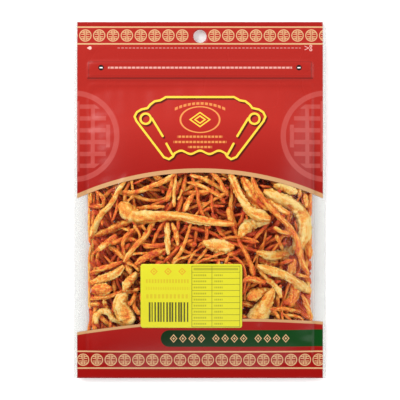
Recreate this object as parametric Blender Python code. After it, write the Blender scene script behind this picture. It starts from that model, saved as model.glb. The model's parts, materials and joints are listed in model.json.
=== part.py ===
"""A filled zip pouch of dried cordyceps, lying on its back.

Two films are welded along the sides and the foot. A press zip closes them below a header with a hang
hole, and a label is stuck on the front. Inside, the larger strands press against the front film, on a bed
that stands for the many thinner strands under and between them.

The origin is on the floor below the pouch's middle: +X to the right and +Y to the header as the front is
read, +Z up out of the front.
"""

import math

import bmesh
import bpy
import numpy as np
from mathutils import Vector

MM = 0.001

# The pouch, flat.
WIDTH = 200 * MM
LENGTH = 283 * MM
FILM = 0.3 * MM
CLEARANCE = 0.3 * MM
SIDE_WELD = 10 * MM
FOOT_WELD = 7.5 * MM
HANG_HOLE_DIAMETER = 10.5 * MM
HANG_HOLE_Y = 130 * MM

# How the contents fill it out. The welds lie above the floor, and the header and the foot droop from there.
WELD_HEIGHT = 6 * MM
FRONT_RISE = 20.5 * MM
BACK_DROP = 17 * MM
FILL_TOP_Y = 94 * MM
FILL_LEAN = 0.7
FILL_TAPER = 0.9
SIDE_ROUNDNESS = 4
SIDE_FULLNESS = 0.55
HEADER_DROOP = 3 * MM
FOOT_DROOP = 1.5 * MM

# The zip: two strips whose bead and channel run the whole width between the side welds.
ZIP_LOW_Y = 97 * MM
ZIP_HIGH_Y = 108.5 * MM
ZIP_LENGTH = 170 * MM
ZIP_BASE = 0.4 * MM
ZIP_ENGAGEMENT = 1.3 * MM
ZIP_BEAD_Y = 100 * MM
ZIP_BEAD_WIDTH = 1.0 * MM
ZIP_LIP_WIDTH = 0.7 * MM
ZIP_EASE = 3 * MM
ZIP_END_EASE = 2 * MM

# The label on the front film.
LABEL_WIDTH = 80 * MM
LABEL_HEIGHT = 50.5 * MM
LABEL_CENTRE = (-6.8 * MM, -75.6 * MM)
LABEL_THICKNESS = 0.2 * MM
LABEL_LIFT = 0.5 * MM

# The strands.
RING_STEP = 6 * MM
STRAND_GAP = 0.45 * MM
TIP_SHARE = 0.5
LONGEST_SAG = 0.5 * MM
FIELD_STEP = 1 * MM
BED_HALF_WIDTH = 66 * MM
BED_LOW_Y = -121 * MM
BED_HIGH_Y = 74 * MM
BED_COLUMNS = 12
BED_ROWS = 18
BED_GAP = 0.5 * MM

# Each strand's bends, as x, y and the strand's thickness there in millimetres, from the one nearest the
# front film to the deepest.
STRANDS = (
    ((-64, -3, 8), (-57, -9, 9.5), (-50, -13, 8), (-40, -13.5, 6.5), (-24, -12.5, 5), (-12, -13.5, 4.5),
     (0, -16, 4.5), (14, -18, 4), (27, -19, 3.5)),
    ((24, 22, 5), (27, 13, 4.6), (30, 6, 4.2), (34, -1, 4.5), (39, -8, 5.5), (45, -12, 6.5), (55.5, -15, 5.5)),
    ((41, 19, 3), (44, 10, 3.2), (48, 3, 3), (53, -3, 3.4), (59, -10, 4), (66, -17, 3), (75, -27, 3.2),
     (78, -36, 3.4), (79, -44, 3.6), (82, -52, 4.2), (86, -59, 3.6)),
    ((50, 7, 5), (58, 4, 6), (66, 0, 6.5), (74, -4, 7.5), (79, -9, 7.5), (82, -17, 7.5), (82, -26, 7.5),
     (79, -34, 7.5), (75, -40, 6)),
    ((45, -52, 4), (52, -54.5, 4.5), (60, -57, 5), (67, -59.5, 5), (75, -64, 5), (82, -69, 5), (87, -73, 4.5)),
    ((58, -70, 4.5), (54, -77, 6.5), (50, -85, 9), (46, -93, 10.5), (43, -101, 10)),
    ((-58, -74, 4), (-62, -79, 8), (-61, -86, 11), (-58, -93, 12.5), (-57, -100, 11)),
    ((-57, 20, 2.8), (-60, 14, 3), (-66, 5, 3.2), (-71, -4, 3), (-78, -11, 3.6), (-83, -20, 4), (-87, -29, 4)),
    ((-35, -13, 3.2), (-38, -20, 3.6), (-42, -27, 3.4), (-48, -33, 3.2), (-54, -40, 3.2), (-60, -49, 3)),
    ((-25.5, -18, 3.6), (-25.5, -30, 3.6), (-24.5, -43, 3.4)),
    ((-50, -57, 3.2), (-54, -62, 4.6), (-58, -67, 5), (-60, -71, 4)),
    ((-60, -52, 3.5), (-65, -57, 4.5), (-73, -61, 4.5), (-81, -64, 4.5), (-87, -66, 4.5)),
    ((55, -17, 5), (47, -16.5, 6.5), (40, -18.5, 7), (35, -22.5, 7), (32, -29, 6.5)),
    ((75, -37, 6.5), (69, -42, 6.5), (61, -44.5, 5.5), (53, -43.5, 4.5), (45, -41, 3.6)),
    ((46, -53, 3.5), (49, -58, 3), (53, -63, 3), (59, -67, 3.4), (62, -71, 4), (64, -77, 4.4)),
    ((81, -75, 3.2), (84, -82, 3.2), (87, -90, 3.2), (88, -98, 3)),
    ((-82, -98, 4.5), (-83, -93, 4), (-80, -89, 3.8), (-75, -87.5, 3.6), (-71, -90, 3.4), (-69, -94, 3.6),
     (-64, -97.5, 4)),
    ((-87, -30, 3.5), (-80, -27, 3.5), (-70, -23, 4), (-60, -18.5, 4), (-52, -16, 3.5)),
    ((-22, -18, 2.8), (-19, -26, 3), (-17.5, -36, 2.8)),
    ((8, 22, 2.6), (14, 17, 2.8), (18, 10, 3), (22, 3, 2.8)),
    ((2, -33, 4), (10, -36, 6.5), (18, -37.5, 7), (27, -37, 5)),
    ((57, -71, 3.5), (50, -72, 4.5), (43, -75, 7), (38, -78, 6)),
    ((57, -86.5, 3), (64, -85.5, 2.6), (72, -87, 2.6), (80, -89, 2.8), (88, -89.5, 2.6)),
    ((-87, -78.5, 2.8), (-80, -77.5, 2.6), (-71, -76, 2.6), (-63, -73, 3), (-55, -72, 3.5), (-48, -70, 3.5)),
    ((-51, -51, 3.4), (-45, -46.5, 3.6), (-38, -42.5, 4), (-30, -40, 5), (-20, -38, 3.5)),
    ((33, 18, 4), (38, 12, 6), (42, 4, 6), (48, -3, 4.5), (54, -8, 4)),
    ((-81, -40, 4), (-73, -33.5, 4), (-66, -27.5, 3)),
    ((-61, 7, 2.2), (-55, 6, 2.4), (-48, 7, 2.6), (-38, 11, 2.8), (-28, 15, 3), (-19, 21, 3)),
    ((58, 12, 5), (65, 11.5, 6.5), (72, 8, 6), (77, 6, 4)),
    ((87, -24, 3.2), (86, -32, 4), (86, -40, 4.6), (86.5, -47, 3.6)),
    ((-83, 8, 2.4), (-79, 4, 2.8), (-75.5, -1, 2.8), (-76, -4.5, 2.6), (-82, -5, 2.8), (-88, -5.5, 2.6)),
    ((-8, 20, 2.4), (4, 16, 2.6), (14, 10.5, 2.6), (23, 6, 2.4)),
    ((31, 9, 2.8), (36, 3, 3), (42, -3, 3), (51, -11, 3)),
    ((73, -66, 5), (74, -73, 6.5), (72, -80, 6), (66, -81, 3.5)),
    ((-5, 5, 3), (-10, -3, 3.5), (-13, -9, 3.5)),
    ((-76, -78, 3.2), (-75, -84, 3.6), (-73, -89, 3.2)),
    ((-59, -47, 3), (-64, -42, 3.2), (-69, -38, 3.2), (-76, -36, 3.2)),
    ((87, -81, 3), (83, -84, 4), (76, -84.5, 3.6), (69, -82, 3.2)),
    ((-10, 14, 2.4), (0, 11.5, 2.6), (9, 7, 2.4), (17, 2, 2.2)),
    ((32, -81, 3.5), (40, -83, 3.8), (46, -85, 3.6), (52, -84, 3)),
    ((50, 2, 4), (57, -3, 4.5), (64, -8, 4), (71, -11, 3.5)),
    ((-37, 22, 3.5), (-33, 17.5, 4), (-27, 14, 3)),
    ((-53, -7, 2.6), (-44, -6, 3), (-36, -5.5, 3), (-28, -5, 3)),
    ((-87, -58, 3.5), (-79, -54.5, 3.5), (-70, -52, 3), (-61, -48.5, 3)),
    ((-86, -72, 4.5), (-79, -71, 6), (-70, -70, 5)),
    ((16, 22, 2.2), (24, 17, 2.6), (31, 8, 2.4)),
    ((83, 5, 3), (83.5, 0, 3.5), (85, -6, 3)),
    ((33, -64, 3.5), (38, -62, 3.5), (44, -62, 3.4), (51, -66, 3)),
    ((75, -47, 3.5), (73, -53, 4.5), (71, -60, 4)),
    ((47, -47, 4), (54, -49, 5), (62, -50, 4)),
    ((-58, -51, 3.5), (-56, -55, 3.8), (-54, -59, 3)),
)

RED = (0.48, 0.02, 0.012)
CLEAR_FILM = (0.8, 0.8, 0.82)
ZIP_PLASTIC = (0.75, 0.72, 0.7)
LABEL_YELLOW = (0.9, 0.86, 0.05)
STRAND_PALE = (0.85, 0.52, 0.14)
STRAND_ORANGE = (0.6, 0.19, 0.03)
BED_BROWN = (0.22, 0.06, 0.02)


def ease(share):
    """A soft step from 0 to 1."""
    share = min(max(share, 0), 1)
    return share * share * (3 - 2 * share)


def filling(x, y):
    """How far the pouch is filled out at a place: 0 at the welds and the zip, 1 at its fullest."""
    across = min(abs(x) / (WIDTH / 2 - SIDE_WELD), 1)
    low = FOOT_WELD - LENGTH / 2
    along = min(max((y - low) / (FILL_TOP_Y - low), 0), 1)
    fullest = FILL_LEAN / (FILL_LEAN + FILL_TAPER)
    peak = fullest ** FILL_LEAN * (1 - fullest) ** FILL_TAPER
    return (1 - across ** SIDE_ROUNDNESS) ** SIDE_FULLNESS * along ** FILL_LEAN * (1 - along) ** FILL_TAPER / peak


def zip_room(x, y):
    """How far each film stands off the weld plane to hold the zip."""
    room = (ZIP_BASE + CLEARANCE) + ZIP_ENGAGEMENT / 2 - CLEARANCE / 2
    before = ease((y - ZIP_LOW_Y + ZIP_EASE) / ZIP_EASE)
    after = ease((ZIP_HIGH_Y + ZIP_EASE - y) / ZIP_EASE)
    beside = ease((WIDTH / 2 - SIDE_WELD - abs(x)) / ZIP_END_EASE)
    return room * min(before, after, beside)


def weld_plane(y):
    """The height of the welded edges: level along the contents, drooping at the header and the foot."""
    header = (y - ZIP_HIGH_Y - ZIP_EASE) / (LENGTH / 2 - ZIP_HIGH_Y - ZIP_EASE)
    foot = (BED_LOW_Y - y) / (BED_LOW_Y + LENGTH / 2)
    return WELD_HEIGHT - HEADER_DROOP * ease(header) - FOOT_DROOP * ease(foot)


def front_inside(x, y):
    return weld_plane(y) + CLEARANCE / 2 + max(FRONT_RISE * filling(x, y), zip_room(x, y))


def front_outside(x, y):
    return front_inside(x, y) + FILM


def back_inside(x, y):
    drop = max(BACK_DROP * filling(x, y), zip_room(x, y))
    return max(weld_plane(y) - CLEARANCE / 2 - drop, FILM)


def back_outside(x, y):
    return back_inside(x, y) - FILM


def even_lines(low, high, count):
    return [low + (high - low) * i / count for i in range(count + 1)]


def film_columns(count):
    """Lines across a film: its edges and welds, closer together where the film turns up from the weld."""
    inner = WIDTH / 2 - SIDE_WELD
    half = [inner * math.sin(math.pi / 2 * i / count) for i in range(1, count + 1)]
    half += [WIDTH / 2]
    return [-x for x in reversed(half)] + [0] + half


def film_rows(count):
    """Lines along a film: the foot weld, even rows over the contents, then the zip and the header."""
    low = FOOT_WELD - LENGTH / 2
    rows = [-LENGTH / 2] + even_lines(low, FILL_TOP_Y, count)
    rows += [ZIP_LOW_Y, ZIP_HIGH_Y, ZIP_HIGH_Y + ZIP_EASE]
    rows += [HANG_HOLE_Y - HANG_HOLE_DIAMETER, LENGTH / 2]
    return rows


FRONT_COLUMNS = film_columns(10)
FRONT_ROWS = film_rows(20)
BACK_COLUMNS = film_columns(7)
BACK_ROWS = film_rows(14)


def material(name, colour, roughness):
    made = bpy.data.materials.new(name)
    made.use_nodes = True
    shader = made.node_tree.nodes["Principled BSDF"]
    shader.inputs["Base Color"].default_value = (*colour, 1)
    shader.inputs["Roughness"].default_value = roughness
    shader.inputs["Metallic"].default_value = 0
    return made


def add_object(name, data, collection, colour, roughness):
    made = bpy.data.objects.new(name, data)
    data.materials.append(material(name, colour, roughness))
    collection.objects.link(made)
    return made


def sheet(name, columns, rows, low, high, collection, colour, roughness):
    """A closed sheet on a grid of lines, between a lower and an upper height given for every place."""
    bm = bmesh.new()
    bmesh.ops.create_grid(bm, x_segments=len(columns) - 1, y_segments=len(rows) - 1, size=1)
    for vertex in bm.verts:
        column = round((vertex.co.x + 1) / 2 * (len(columns) - 1))
        row = round((vertex.co.y + 1) / 2 * (len(rows) - 1))
        vertex.co = Vector((columns[column], rows[row], 0))
    under = list(bm.verts)
    raised = bmesh.ops.extrude_face_region(bm, geom=list(bm.faces))
    over = [part for part in raised["geom"] if isinstance(part, bmesh.types.BMVert)]
    for vertex in under:
        vertex.co.z = low(vertex.co.x, vertex.co.y)
    for vertex in over:
        vertex.co.z = high(vertex.co.x, vertex.co.y)
    bmesh.ops.recalc_face_normals(bm, faces=bm.faces)
    mesh = bpy.data.meshes.new(name)
    bm.to_mesh(mesh)
    bm.free()
    mesh.shade_smooth()
    mesh.set_sharp_from_angle(angle=math.radians(40))
    return add_object(name, mesh, collection, colour, roughness)


def add_hole_cutter(collection):
    bpy.ops.mesh.primitive_cylinder_add(
        vertices=28, radius=HANG_HOLE_DIAMETER / 2, depth=30 * MM, location=(0, HANG_HOLE_Y, WELD_HEIGHT)
    )
    cutter = bpy.context.object
    cutter.name = "hang_hole_cutter"
    for old in list(cutter.users_collection):
        old.objects.unlink(cutter)
    collection.objects.link(cutter)
    cutter.hide_render = True
    cutter.display_type = "WIRE"
    return cutter


def cut(target, cutter):
    boolean = target.modifiers.new("hang hole", "BOOLEAN")
    boolean.operation = "DIFFERENCE"
    boolean.solver = "EXACT"
    boolean.object = cutter


def zip_strip(name, outline, collection):
    """A strip whose cross-section, y and z, runs along X."""
    curve = bpy.data.curves.new(name, "CURVE")
    curve.dimensions = "2D"
    curve.fill_mode = "BOTH"
    curve.extrude = ZIP_LENGTH / 2
    spline = curve.splines.new("POLY")
    spline.points.add(len(outline) - 1)
    for point, (y, z) in zip(spline.points, outline):
        point.co = (y, z, 0, 1)
    spline.use_cyclic_u = True
    strip = add_object(name, curve, collection, ZIP_PLASTIC, 0.35)
    strip.rotation_euler = (math.pi / 2, 0, math.pi / 2)
    return strip


def add_zip(collection):
    low_base = WELD_HEIGHT - ZIP_ENGAGEMENT / 2 - ZIP_BASE
    low_top = low_base + ZIP_BASE
    high_base = low_top + ZIP_ENGAGEMENT
    high_top = high_base + ZIP_BASE
    bead = ZIP_BEAD_WIDTH / 2
    channel = bead + CLEARANCE
    lip = channel + ZIP_LIP_WIDTH
    lip_top = high_base - CLEARANCE
    bead_tip = low_top + CLEARANCE
    zip_strip("zip_ridge_strip", [
        (ZIP_LOW_Y, high_base), (ZIP_BEAD_Y - bead, high_base), (ZIP_BEAD_Y - bead, bead_tip),
        (ZIP_BEAD_Y + bead, bead_tip), (ZIP_BEAD_Y + bead, high_base), (ZIP_HIGH_Y, high_base),
        (ZIP_HIGH_Y, high_top), (ZIP_LOW_Y, high_top),
    ], collection)
    zip_strip("zip_groove_strip", [
        (ZIP_LOW_Y, low_base), (ZIP_HIGH_Y, low_base), (ZIP_HIGH_Y, low_top), (ZIP_BEAD_Y + lip, low_top),
        (ZIP_BEAD_Y + lip, lip_top), (ZIP_BEAD_Y + channel, lip_top), (ZIP_BEAD_Y + channel, low_top),
        (ZIP_BEAD_Y - channel, low_top), (ZIP_BEAD_Y - channel, lip_top), (ZIP_BEAD_Y - lip, lip_top),
        (ZIP_BEAD_Y - lip, low_top), (ZIP_LOW_Y, low_top),
    ], collection)


class Field:
    """Heights over the floor on an even grid, used to keep the strands clear of the films and each other."""

    def __init__(self):
        self.xs = np.arange(-WIDTH / 2, WIDTH / 2 + FIELD_STEP / 2, FIELD_STEP)
        self.ys = np.arange(-LENGTH / 2, LENGTH / 2, FIELD_STEP)
        self.x, self.y = np.meshgrid(self.xs, self.ys)

    def of_sheet(self, columns, rows, height):
        """The height of a sheet's flat facets, which run straight between its lines."""
        corners = np.array([[height(x, y) for x in columns] for y in rows])
        along_rows = np.array([np.interp(self.xs, columns, row) for row in corners])
        return np.array([np.interp(self.ys, rows, column) for column in along_rows.T]).T

    def near(self, centre, reach):
        """The part of the grid within reach of a place, and its distances from the place, squared."""
        columns = slice(*np.searchsorted(self.xs, (centre[0] - reach, centre[0] + reach)))
        rows = slice(*np.searchsorted(self.ys, (centre[1] - reach, centre[1] + reach)))
        part = (rows, columns)
        return part, (self.x[part] - centre[0]) ** 2 + (self.y[part] - centre[1]) ** 2


def strand_rings(bends):
    """A strand's x, y and radius at even steps along a smooth curve through its bends."""
    bends = np.array(bends) * MM
    bends[:, 2] /= 2
    run = np.concatenate([[0], np.cumsum(np.linalg.norm(np.diff(bends[:, :2], axis=0), axis=1))])
    slope = np.gradient(bends, run, axis=0)
    at = np.linspace(0, run[-1], max(5, round(run[-1] / RING_STEP) + 1))
    leg = np.clip(np.searchsorted(run, at, side="right") - 1, 0, len(run) - 2)
    length = run[leg + 1] - run[leg]
    t = ((at - run[leg]) / length)[:, None]
    length = length[:, None]
    rings = (
        (2 * t**3 - 3 * t**2 + 1) * bends[leg]
        + (t**3 - 2 * t**2 + t) * length * slope[leg]
        + (3 * t**2 - 2 * t**3) * bends[leg + 1]
        + (t**3 - t**2) * length * slope[leg + 1]
    )
    rings[[0, -1], 2] *= TIP_SHARE
    return rings


def between(rings, heights):
    """Places every millimetre or so along a strand: x, y, radius, height, and the ring before each."""
    for i in range(len(rings) - 1):
        steps = 8
        for step in range(steps + 1):
            share = step / steps
            ring = rings[i] * (1 - share) + rings[i + 1] * share
            yield ring, heights[i] * (1 - share) + heights[i + 1] * share, i


def hang_heights(rings, ceiling, field):
    """How high a strand's rings can lie below the ceiling, without a sharper hump than a strand makes."""
    heights = np.full(len(rings), WELD_HEIGHT + FRONT_RISE)
    for ring, _, before in between(rings, heights):
        radius = ring[2] + STRAND_GAP
        part, square = field.near(ring, radius)
        inside = square < radius**2
        room = (ceiling[part] - np.sqrt(np.maximum(radius**2 - square, 0)))[inside]
        for i in (before, before + 1):
            heights[i] = min(heights[i], room.min())
    for _ in range(2 * len(rings)):
        level = (heights[:-2] + heights[2:]) / 2 + LONGEST_SAG
        heights[1:-1] = np.minimum(heights[1:-1], level)
    return heights


def add_strand(name, rings, heights, collection):
    curve = bpy.data.curves.new(name, "CURVE")
    curve.dimensions = "3D"
    curve.bevel_depth = MM
    curve.bevel_resolution = 1
    curve.use_fill_caps = True
    spline = curve.splines.new("POLY")
    spline.points.add(len(rings) - 1)
    for point, (x, y, radius), z in zip(spline.points, rings, heights):
        point.co = (x, y, z, 1)
        point.radius = radius / MM
    spline.use_smooth = True
    colour = STRAND_PALE if rings[:, 2].max() > 2.4 * MM else STRAND_ORANGE
    return add_object(name, curve, collection, colour, 0.7)


def add_strands(collection):
    """Hangs each strand below the ones before it, and returns what room is left under them all."""
    field = Field()
    ceiling = field.of_sheet(FRONT_COLUMNS, FRONT_ROWS, front_inside)
    for number, bends in enumerate(STRANDS, 1):
        rings = strand_rings(bends)
        heights = hang_heights(rings, ceiling, field)
        add_strand(f"strand_{number:02d}", rings, heights, collection)
        for ring, height, _ in between(rings, heights):
            reach = ring[2] + FIELD_STEP
            part, square = field.near(ring, reach)
            under = height - np.sqrt(np.maximum(ring[2] ** 2 - square, 0))
            ceiling[part] = np.where(square < reach**2, np.minimum(ceiling[part], under), ceiling[part])
    return field, ceiling


def add_strand_bed(field, ceiling, collection):
    """One closed mass that fills the pouch below the strands, from the back film up to their undersides."""
    columns = even_lines(-BED_HALF_WIDTH, BED_HALF_WIDTH, BED_COLUMNS)
    rows = even_lines(BED_LOW_Y, BED_HIGH_Y, BED_ROWS)
    reach = max(columns[1] - columns[0], rows[1] - rows[0])
    floor = field.of_sheet(BACK_COLUMNS, BACK_ROWS, back_inside)

    def low(x, y):
        part, _ = field.near((x, y), reach)
        return floor[part].max() + BED_GAP

    def high(x, y):
        part, _ = field.near((x, y), reach)
        return max(ceiling[part].min() - BED_GAP, low(x, y) + BED_GAP)

    sheet("strand_bed", columns, rows, low, high, collection, BED_BROWN, 0.8)


def add_label(collection):
    left = LABEL_CENTRE[0] - LABEL_WIDTH / 2
    foot = LABEL_CENTRE[1] - LABEL_HEIGHT / 2

    def low(x, y):
        return front_outside(x, y) + LABEL_LIFT

    def high(x, y):
        return low(x, y) + LABEL_THICKNESS

    sheet(
        "label", even_lines(left, left + LABEL_WIDTH, 8), even_lines(foot, foot + LABEL_HEIGHT, 5),
        low, high, collection, LABEL_YELLOW, 0.4,
    )


def new_collection(name):
    made = bpy.data.collections.new(name)
    bpy.context.scene.collection.children.link(made)
    return made


def main():
    for old in list(bpy.data.objects):
        bpy.data.objects.remove(old)
    pouch = new_collection("cordyceps_pouch")
    cutters = new_collection("cutters")
    front = sheet("front_film", FRONT_COLUMNS, FRONT_ROWS, front_inside, front_outside, pouch, RED, 0.25)
    back = sheet("back_film", BACK_COLUMNS, BACK_ROWS, back_outside, back_inside, pouch, CLEAR_FILM, 0.2)
    cutter = add_hole_cutter(cutters)
    cut(front, cutter)
    cut(back, cutter)
    add_zip(pouch)
    add_label(pouch)
    field, ceiling = add_strands(pouch)
    add_strand_bed(field, ceiling, pouch)


main()
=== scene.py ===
"""The looks of a windowed zip pouch of dried cordyceps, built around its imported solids.

Lengths are in metres unless a name ends in _MM. The pouch lies on its back: X runs across it, Y runs up to
the header, and Z points out of the front.
"""

import math
import random

import bmesh
import bpy
import numpy as np
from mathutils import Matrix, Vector, noise
from mathutils.bvhtree import BVHTree
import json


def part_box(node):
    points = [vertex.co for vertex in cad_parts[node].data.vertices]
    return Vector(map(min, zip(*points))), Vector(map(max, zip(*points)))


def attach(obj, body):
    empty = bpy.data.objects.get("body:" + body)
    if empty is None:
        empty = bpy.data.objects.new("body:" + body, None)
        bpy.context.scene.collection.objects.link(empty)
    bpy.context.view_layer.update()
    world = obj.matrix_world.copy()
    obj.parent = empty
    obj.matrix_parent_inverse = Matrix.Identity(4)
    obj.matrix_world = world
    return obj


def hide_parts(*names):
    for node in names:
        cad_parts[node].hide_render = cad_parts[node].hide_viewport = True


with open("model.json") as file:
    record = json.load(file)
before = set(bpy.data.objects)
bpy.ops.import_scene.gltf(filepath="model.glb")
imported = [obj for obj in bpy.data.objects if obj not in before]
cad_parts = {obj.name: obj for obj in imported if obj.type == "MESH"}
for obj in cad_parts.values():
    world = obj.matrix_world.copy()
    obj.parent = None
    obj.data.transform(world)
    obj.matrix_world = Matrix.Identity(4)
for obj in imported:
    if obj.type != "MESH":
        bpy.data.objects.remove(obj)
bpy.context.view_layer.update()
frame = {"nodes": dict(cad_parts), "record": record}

MM = 0.001
BODY = "root"
SEED = 41

HALF_WIDTH, HALF_LENGTH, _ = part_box("front_film")[1]
ZIP_LOW, ZIP_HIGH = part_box("zip_ridge_strip")
LABEL_LOW, LABEL_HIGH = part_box("label")
STRAND_NODES = sorted(name for name in frame["nodes"] if name.startswith("strand_") and name != "strand_bed")

# The pouch's own measures, as its solids have them.
SIDE_WELD = 10 * MM
FOOT_WELD = 7.5 * MM
INNER_HALF = HALF_WIDTH - SIDE_WELD
FOOT_LINE = FOOT_WELD - HALF_LENGTH
HOLE_RADIUS = 5.25 * MM
HOLE_Y = 130 * MM
CAD_STRAND_SIDES = 6

# The films and the label.
FRONT_FACES = (160, 226)
BACK_FACES = (110, 156)
LABEL_FACES = (80, 50)
FILM_THICKNESS = 0.15 * MM
LABEL_THICKNESS = 0.1 * MM
LABEL_LIFT = 0.12 * MM
LABEL_CORNER = 1.6 * MM
WELD_EASE = 3 * MM
END_EASE = 4 * MM
HEADER_COLUMN = 20
STRAND_TO_FILM = 0.35 * MM
SLACK = 1.3 * MM
SLACK_CHANGE = 0.7 * MM
DRAPE_STEPS = 260
SAG_PER_STEP = 0.012 * MM
SIDE_CREASE = 0.24 * MM
ZIP_CREASE = 0.26 * MM

# The strands.
THICK_STRAND_RADIUS = 2.2 * MM
THICK_SWELL = 1.38
SLIM_SWELL = 1.24
THICK_RINGS = 96
SLIM_RINGS = 72
UNDER_FRONT = 0.35 * MM
OVER_BACK = 0.25 * MM
MEAN_FOLD = 0.22
HUNG_TOP = 46 * MM
HUNG_SAG = 0.08 * MM
FINE_POINTS = 24
PLAIN_POINTS = 12
UPPER_TRIES = 500
DEEP_TRIES = 700
SCATTER_TRIES = 210
MAT_SPREAD = 0.07
STRAND_WIDTHS_MM = {"club": (5.0, 7.6), "needle": (2.0, 2.9), "stem": (2.8, 4.5)}
HUNG_LENGTHS_MM = (34, 84)
SCATTERED_LENGTHS_MM = (28, 66)
MAT_LENGTHS_MM = (30, 66)
EDGE_LENGTHS_MM = (24, 52)
# How light strands are, from 0, red-brown, to 1, cream. Hung strands have the lightness that most have last.
PALE_TONES = (0.66, 0.8)
ORANGE_TONES = (0.46, 0.62)
HUNG_TONES = (0.3, 0.84, 0.52)
# The next two are the darkest tones, for the lowest strands: painted shade for the bottom of the pouch.
SCATTERED_SHADED_TONES = (0.15, 0.5)
MAT_SHADED_TONES = (0.06, 0.32)
EDGE_TONES = (0.4, 0.7)
THIN_TONES = (0.55, 0.7)

# Each thin strand's bends: x, y and how thick it is there, in millimetres.
THIN_STRANDS_MM = (
    ((-54, 16, 2.5), (-53, 8, 2.5)),
    ((-70, -25, 2.5), (-62, -22, 2.5), (-56, -24, 2)),
    ((-46, -20, 2), (-43, -24, 2.5), (-41, -28, 3)),
    ((-52, -20, 2.5), (-48, -26, 2.5), (-47, -31, 2.5)),
    ((-57, -1, 2), (-53, 3, 2.5)),
    ((-17, 0, 2), (-14, 8, 2)),
    ((58, -22, 3), (64, -25, 3.5), (72, -27, 3.5), (76, -30, 3)),
    ((60, -28, 3), (63, -34, 3), (66, -40, 3)),
    ((-86.5, -83, 3), (-80, -82, 3)),
    ((82, -49, 2.8), (85, -53, 2.8), (86.5, -60, 2.6)),
    ((-58, -49, 2.6), (-52, -51.5, 2.8), (-48, -55.5, 2.8)),
    ((-57, -43, 2.4), (-48, -42, 2.4), (-40, -42, 2.4)),
    ((-50, -72, 3.5), (-53, -79, 4), (-56, -82, 3)),
    ((77, -59, 3), (82, -60, 3.2), (86, -61, 2.8)),
)

# The colours of the print.
TOP_RED = (0.35, 0.016, 0.011)
# A painted highlight: the lighter red of the header's middle, where the film faces the lamps.
LIT_MIDDLE_RED = (0.41, 0.020, 0.013)
# Painted shade: the darker reds beside the window's arch, and on the top strip and the foot.
SHADED_WINDOW_RED = (0.27, 0.005, 0.003)
PAINTED_SHADE_RED = (0.26, 0.001, 0.0)
# A painted shadow for the zip's edges under the film.
SEAM_PAINTED_SHADOW = (0.08, 0.002, 0.001)
ROUNDEL_PINK = (0.50, 0.10, 0.085)
CREAM = (0.60, 0.36, 0.18)
ARC_BEIGE = (0.50, 0.27, 0.12)
PALE_INK = (0.85, 0.52, 0.45)
DOT_BLACK = (0.012, 0.006, 0.005)
DOT_WHITE = (0.9, 0.85, 0.82)
CAPSULE_DARK = (0.0, 0.016, 0.0)
CAPSULE_LIGHT = (0.0, 0.045, 0.003)
GOLD = (0.80, 0.54, 0.05)
GOLD_SHADOW = (0.07, 0.006, 0.003)
OVAL_LINE = (0.70, 0.27, 0.07)
LABEL_YELLOWS = ((0.58, 0.53, 0.012), (0.63, 0.60, 0.016))
TABLE_INK = (0.06, 0.055, 0.01)
ENTRY_INK = (0.12, 0.11, 0.01)
HEADING_INK = (0.1, 0.09, 0.01)
OCHRE = (0.50, 0.24, 0.01)
LOZENGE_ORANGE = (0.62, 0.20, 0.01)
BAR_BLACK = (0.03, 0.026, 0.008)
WELD_WHITE = (0.72, 0.74, 0.74)
WELD_FROST = 0.3
STRAND_COLOURS = (
    (0.0, (0.44, 0.034, 0.008)),
    (0.25, (0.61, 0.092, 0.012)),
    (0.50, (0.72, 0.22, 0.022)),
    (0.75, (0.74, 0.40, 0.07)),
    (1.0, (0.75, 0.55, 0.20)),
)

# The print, in millimetres from the pouch's middle.
PRINT_HALF_WIDTH_MM = 97.5
TOP_STRIP_Y_MM = 137.4
# Where the painted highlight on the header stops below, and where it is brightest.
LIT_PANEL_TOP_MM = 90
LIT_PANEL_MIDDLE_MM = 62
ARC_CENTRE_Y_MM = -223.9
ARC_OUTER_MM = 248.8
ARC_INNER_MM = 245.5
WINDOW_FOOT_Y_MM = -94.3
WINDOW_FOOT_SLOPE = 0.0431
WINDOW_FOOT_BOW = 0.000684
FRET_PITCH_MM = 11.0
FRET_RADIUS_MM = 4.5
BAND_HALF_HEIGHT_MM = 6.7
# Each band of frets: its height, its middle, and how far from the middle its first fret is.
BANDS_MM = ((130.7, -1.3, 12.8), (-126.8, 0.7, 5.5))
# The bars in a quarter of a fret: the middle and the half size of each.
FRET_BARS_MM = (
    ((1.9, 1.0), (1.5, 0.3)), ((1.2, 2.6), (0.3, 1.0)), ((2.4, 2.6), (1.2, 0.3)), ((0.5, 1.8), (0.22, 2.1)),
)
ROUNDEL_MM = (100, 50.6)
ROUNDEL_RADIUS_MM = 34.2
ROUNDEL_HALF_LINE_MM = 1.6
# The roundel's upright bars: how far in from the pouch's edge, and half their length.
ROUNDEL_UPRIGHTS_MM = ((15, 24), (27.3, 9), (2.6, 28))
# The zip's seams, a painted shadow along the zip's edges under the film: middle height, half thickness, half
# length and how dark.
ZIP_SEAM_SHADOWS_MM = ((96.7, 0.45, 89.5, 0.72), (98.5, 0.25, 87, 0.3), (109.7, 0.3, 88, 0.38))
# The painted shadow at each end of the zip: its middle and its half size.
ZIP_END_SEAM_SHADOW_MM = ((88.3, 103.2), (0.35, 6.6))
CUT_LINE_Y_MM = 120.7
ZIP_MARKS_Y_MM = 105.0
ZIP_DOT_X_MM = 78.5
CAPSULE_Y_MM = -109.4
CAPSULE_LEFT_MM = -24.3
CAPSULE_RADIUS_MM = 6.7

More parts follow.
